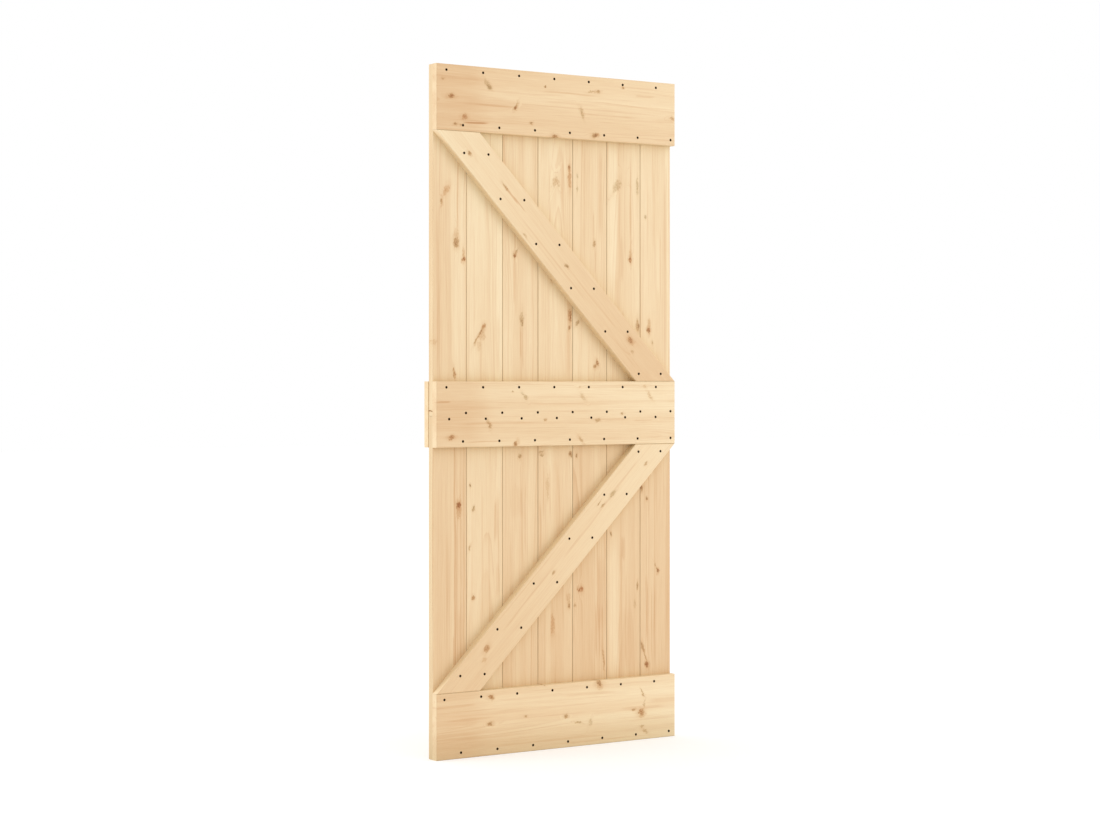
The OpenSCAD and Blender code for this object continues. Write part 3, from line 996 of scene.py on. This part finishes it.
    def braces(self) -> list[Board]:
        """Lists the two braces."""
        return [
            # negative grey paints light on the braces' sawn sides, paler than the face
            Board("upper_brace", Grain.FALLING, Cut.FLAT, 1, 0.06, 0.13, grey=-0.07, figure=0.45, knots=(
                Knot(116, 1834, 5, 0.55, 0.2), Knot(247, 1738, 4, 0.4, 0.1, 3.4),
                Knot(320, 1591, 3, 0.25, 0.0, 3.0), Knot(477, 1500, 4.5, 0.6, -0.3, 1.4),
                Knot(721, 1274, 8, 0.5, 0.6, 1.2), Knot(723, 1272, 13, 0.12, 0.8),
                Knot(730, 1235, 5, 0.2, 0.2)), streaks=(
                Streak(270, 1716, 2.5, 46, 0.16), Streak(302, 1688, 2, 40, 0.12),
                Streak(560, 1420, 3, 200, 0.05), Streak(420, 1530, 2.5, 200, 0.05))),
            Board("lower_brace", Grain.RISING, Cut.RIFT, 1, 0.058, -0.08, grey=-0.04, figure=0.4, knots=(
                Knot(785, 880, 5, 0.6, 0.0), Knot(655, 788, 6, 0.4, -0.6, 2.2),
                Knot(614, 752, 2.2, 0.5, -0.1, 4.0), Knot(600, 760, 2.2, 0.45, -0.1, 4.0),
                Knot(428, 549, 4, 0.45, 0.0), Knot(179, 327, 8.5, 0.42, 0.7),
                Knot(170, 294, 7, 0.15, 0.8)), streaks=(
                Streak(560, 690, 3, 160, 0.06), Streak(330, 470, 3, 160, 0.06),
                Streak(700, 840, 2.5, 90, 0.06))),
        ]

    def dress(self, shop: PineShop) -> None:
        """Dresses every board of the leaf.

        Args:
            shop: The pine node groups.
        """
        left_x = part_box("top_rail")[0].x
        for row in (self.upper_planks(), self.lower_planks()):
            for plank, (place, dark) in zip(row, self.seams):
                plank.seam_mm = place
                plank.seam_painted_shade = dark
            self.boards += row
        self.boards += self.rails() + self.braces()
        for number, board in enumerate(self.boards, start=1):
            board.dress(shop, number, board.lie(left_x, self.brace_width_mm * MM))


@dataclass
class ScrewSet:
    """The black countersunk screws, modelled once for each node and set in every hole.

    Points within near_mm are at the same place. The tops of a CAD node's heads lie within top_mm of its
    front, and points less than apart times half a head's width from each other are on one head.
    """

    node_names: tuple[str, ...] = ("top_rail_screws", "middle_rail_screws", "bottom_rail_screws",
                                   "upper_brace_screws", "lower_brace_screws")
    finish: ScrewFinish = field(default_factory=ScrewFinish)
    sides: int = 12
    head_mm: float = 4.0
    rim_mm: float = 0.5
    shank_mm: float = 2.0
    point_mm: float = 7.0
    recess_mm: float = 2.3
    recess_deep_mm: float = 1.2
    recess_waist: float = 0.6
    near_mm: float = 0.01
    top_mm: float = 0.1
    apart: float = 2.2

    def material(self) -> bpy.types.Material:
        """Makes the black coat.

        Returns:
            The coat's material.
        """
        material = bpy.data.materials.new("black_screw_coat")
        pen = clear_sketch(material)
        coordinates = pen.add("ShaderNodeTexCoord")
        cloud = pen.noise(coordinates.outputs["Object"], (self.finish.cloud_waves,) * 3, 3.0)
        worn = pen.fade(cloud, 0.55, 0.8, 0.0, 0.6)
        surface = pen.add("ShaderNodeBsdfPrincipled")
        pen.feed(surface.inputs["Base Color"], pen.mix(worn, self.finish.coat, self.finish.worn))
        rough = pen.math("ADD", self.finish.roughness, pen.math("MULTIPLY", cloud, 0.2))
        pen.feed(surface.inputs["Roughness"], rough)
        surface.inputs["Specular IOR Level"].default_value = self.finish.shine
        pen.finish("ShaderNodeOutputMaterial", surface.outputs["BSDF"])
        return material

    def pick_level(self, screw: bpy.types.Object, height: float, reach: float) -> None:
        """Selects the screw's flat face at a height, with its middle on the axis, for editing.

        Args:
            screw: The screw being modelled, with its axis along Z.
            height: Z of the face, in metres.
            reach: Half the width that the face may have at most, in metres.
        """
        bpy.ops.object.mode_set(mode="EDIT")
        bpy.ops.mesh.select_mode(type="FACE")
        bpy.ops.mesh.select_all(action="DESELECT")
        bpy.ops.object.mode_set(mode="OBJECT")
        near = self.near_mm * MM
        for face in screw.data.polygons:
            spots = [screw.data.vertices[index].co for index in face.vertices]
            level = all(abs(spot.z - height) < near for spot in spots)
            within = max(math.hypot(spot.x, spot.y) for spot in spots) < reach + near
            central = math.hypot(face.center.x, face.center.y) < near
            face.select = level and within and central
        bpy.ops.object.mode_set(mode="EDIT")

    def extrude(self, drop_mm: float) -> None:
        """Extrudes the selected face down by so many millimetres."""
        bpy.ops.mesh.extrude_region_move(TRANSFORM_OT_translate={"value": (0.0, 0.0, -drop_mm * MM)})

    def shrink(self, share: float, height: float) -> None:
        """Scales the selected face about the axis."""
        bpy.ops.transform.resize(value=(share, share, 1.0), center_override=(0.0, 0.0, height))

    def model(self, length_mm: float) -> bpy.types.Object:
        """Models one screw with its head facing -Y and the middle of the head at the origin.

        Args:
            length_mm: Length from the top of the head to the point.

        Returns:
            The screw.
        """
        bpy.ops.object.select_all(action="DESELECT")
        rim = self.rim_mm * MM
        bpy.ops.mesh.primitive_cylinder_add(vertices=self.sides, radius=self.head_mm * MM, depth=rim,
                                            location=(0.0, 0.0, -rim / 2))
        screw = bpy.context.active_object
        bpy.ops.object.transform_apply(location=True, rotation=True, scale=True)
        self.pick_level(screw, -rim, self.head_mm * MM)
        cone = self.head_mm - self.shank_mm
        self.extrude(cone)
        self.shrink(self.shank_mm / self.head_mm, -rim - cone * MM)
        self.extrude(length_mm - self.rim_mm - cone - self.point_mm)
        self.extrude(self.point_mm)
        bpy.ops.mesh.merge(type="CENTER")
        bpy.ops.object.mode_set(mode="OBJECT")
        self.pick_level(screw, 0.0, self.head_mm * MM)
        bpy.ops.mesh.inset(thickness=(self.head_mm - self.recess_mm) * MM)
        bpy.ops.object.mode_set(mode="OBJECT")
        middle = 0.5 * (self.head_mm + self.recess_mm) * MM
        ring = [spot for spot in screw.data.vertices if abs(spot.co.z) < self.near_mm * MM
                and math.hypot(spot.co.x, spot.co.y) < middle]
        ring.sort(key=lambda spot: math.atan2(spot.co.y, spot.co.x))
        for spot in ring[::2]:
            spot.co.x *= self.recess_waist
            spot.co.y *= self.recess_waist
        self.pick_level(screw, 0.0, middle)
        self.extrude(self.recess_deep_mm)
        bpy.ops.mesh.select_all(action="SELECT")
        bpy.ops.mesh.normals_make_consistent(inside=False)
        bpy.ops.object.mode_set(mode="OBJECT")
        screw.rotation_euler = (math.radians(90), 0.0, 0.0)
        bpy.ops.object.transform_apply(location=True, rotation=True, scale=True)
        return screw

    def head_places(self, name: str) -> list[Vector]:
        """Finds the middle of every screw head of a CAD node.

        Args:
            name: The node's name.

        Returns:
            The heads' middles, at the top of the heads.
        """
        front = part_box(name)[0].y
        spots = [spot.co for spot in bpy.data.objects[name].data.vertices]
        heads: list[list[Vector]] = []
        for top in (spot for spot in spots if spot.y < front + self.top_mm * MM):
            for head in heads:
                if (head[0] - top).length < self.apart * self.head_mm * MM:
                    head.append(top)
                    break
            else:
                heads.append([top])
        middles = []
        for head in heads:
            across = [top.x for top in head]
            upright = [top.z for top in head]
            middle_x = (min(across) + max(across)) / 2
            middle_z = (min(upright) + max(upright)) / 2
            middles.append(Vector((middle_x, front, middle_z)))
        return middles

    def build(self) -> None:
        """Models the screws of every node and sets them in place of the plain ones."""
        coat = self.material()
        for name in self.node_names:
            low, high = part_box(name)
            first = self.model((high.y - low.y) / MM)
            first.data.materials.append(coat)
            screws = []
            for place in self.head_places(name):
                screw = first.copy()
                screw.data = first.data.copy()
                screw.location = place
                bpy.context.scene.collection.objects.link(screw)
                screws.append(screw)
            bpy.data.objects.remove(first)
            bpy.ops.object.select_all(action="DESELECT")
            for screw in screws:
                screw.select_set(True)
            bpy.context.view_layer.objects.active = screws[0]
            bpy.ops.object.transform_apply(location=True, rotation=True, scale=True)
            bpy.ops.object.join()
            piece = bpy.context.active_object
            piece.name = f"{name}_modelled"
            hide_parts(name)
            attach(piece, "root")
            LOG.info("screws %s: %d", name, len(screws))


@dataclass(frozen=True)
class SoftBox:
    """A square soft box: where it stands, the point that it faces, its sides in metres and its power."""

    name: str
    place: Triple
    aim: Triple
    size: float
    watts: float

    def build(self) -> None:
        """Stands the lamp in the studio."""
        data = bpy.data.lights.new(self.name, "AREA")
        data.size = self.size
        data.energy = self.watts
        lamp = bpy.data.objects.new(self.name, data)
        lamp.location = self.place
        way = Vector(self.aim) - Vector(self.place)
        lamp.rotation_euler = way.to_track_quat("-Z", "Y").to_euler()
        bpy.context.scene.collection.objects.link(lamp)


@dataclass
class Studio:
    """The white studio: camera, lamps, world and floor."""

    camera_place: Triple = (-4.178, -6.104, 1.143)
    turn_deg: float = 34.31
    focal_px: float = 2366.0
    horizon_px: float = 381.03
    clip_end: float = 200.0
    ambient: float = 0.945
    lamps: tuple[SoftBox, ...] = (SoftBox("key_soft_box", (9.0, -5.8, 1.3), (0.0, 0.0, 1.05), 4.5, 285.0),
                                  SoftBox("rim_soft_box", (-4.0, 1.6, 1.8), (0.0, 0.0, 1.1), 2.0, 32.0))
    floor_size: float = 60.0
    floor_grey: float = 0.8
    floor_glow: float = 0.28

    def set_camera(self) -> None:
        """Stands the camera where the photograph was taken from."""
        data = bpy.data.cameras.new("photo_camera")
        data.sensor_width = SENSOR_W_MM
        data.lens = self.focal_px / IMAGE_W * SENSOR_W_MM
        data.shift_y = (self.horizon_px - IMAGE_H / 2) / IMAGE_W
        data.clip_end = self.clip_end
        camera = bpy.data.objects.new("photo_camera", data)
        camera.location = self.camera_place
        camera.rotation_euler = (math.radians(90), 0.0, -math.radians(self.turn_deg))
        bpy.context.scene.collection.objects.link(camera)
        bpy.context.scene.camera = camera

    def show_white(self, pen: NodeSketch) -> bpy.types.NodeSocket:
        """Marks the rays that should see plain white: from the camera, off metal or through glass.

        Args:
            pen: The sketch to draw in.

        Returns:
            The socket that is 1 for such rays.
        """
        path = pen.add("ShaderNodeLightPath")
        seen = pen.math("MAXIMUM", path.outputs["Is Camera Ray"], path.outputs["Is Glossy Ray"])
        return pen.math("MAXIMUM", seen, path.outputs["Is Transmission Ray"])

    def light_world(self) -> None:
        """Fills the world with soft white light, plain white where it is seen."""
        world = bpy.data.worlds.new("white_studio")
        bpy.context.scene.world = world
        pen = clear_sketch(world)
        fill = pen.add("ShaderNodeBackground")
        fill.inputs["Color"].default_value = WHITE
        fill.inputs["Strength"].default_value = self.ambient
        white = pen.add("ShaderNodeBackground")
        white.inputs["Color"].default_value = WHITE
        mix = pen.add("ShaderNodeMixShader")
        pen.feed(mix.inputs[0], self.show_white(pen))
        pen.feed(mix.inputs[1], fill.outputs[0])
        pen.feed(mix.inputs[2], white.outputs[0])
        pen.finish("ShaderNodeOutputWorld", mix.outputs[0])

    def lay_floor(self) -> None:
        """Lays a pale floor that looks white and keeps a soft shadow."""
        bpy.ops.object.select_all(action="DESELECT")
        bpy.ops.mesh.primitive_plane_add(size=self.floor_size, location=(0.0, 0.0, 0.0))
        floor = bpy.context.active_object
        floor.name = "studio_floor"
        material = bpy.data.materials.new("studio_floor_white")
        pen = clear_sketch(material)
        matt = pen.add("ShaderNodeBsdfDiffuse")
        matt.inputs["Color"].default_value = (self.floor_grey, self.floor_grey, self.floor_grey, 1.0)
        glow = pen.add("ShaderNodeEmission")
        glow.inputs["Color"].default_value = WHITE
        pen.feed(glow.inputs["Strength"], pen.math("MULTIPLY", self.show_white(pen), self.floor_glow))
        both = pen.add("ShaderNodeAddShader")
        pen.feed(both.inputs[0], matt.outputs[0])
        pen.feed(both.inputs[1], glow.outputs[0])
        pen.finish("ShaderNodeOutputMaterial", both.outputs[0])
        floor.data.materials.append(material)

    def build(self) -> None:
        """Sets up the whole studio."""
        bpy.context.scene.view_settings.view_transform = "Standard"
        self.set_camera()
        self.light_world()
        self.lay_floor()
        for lamp in self.lamps:
            lamp.build()
            LOG.info("lamp %s", lamp.name)


def main() -> None:
    logging.basicConfig(level=logging.INFO, format="%(message)s")
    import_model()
    Studio().build()
    shop = PineShop()
    shop.build()
    Leaf().dress(shop)
    ScrewSet().build()
    bpy.context.view_layer.update()


if __name__ == "__main__":
    main()
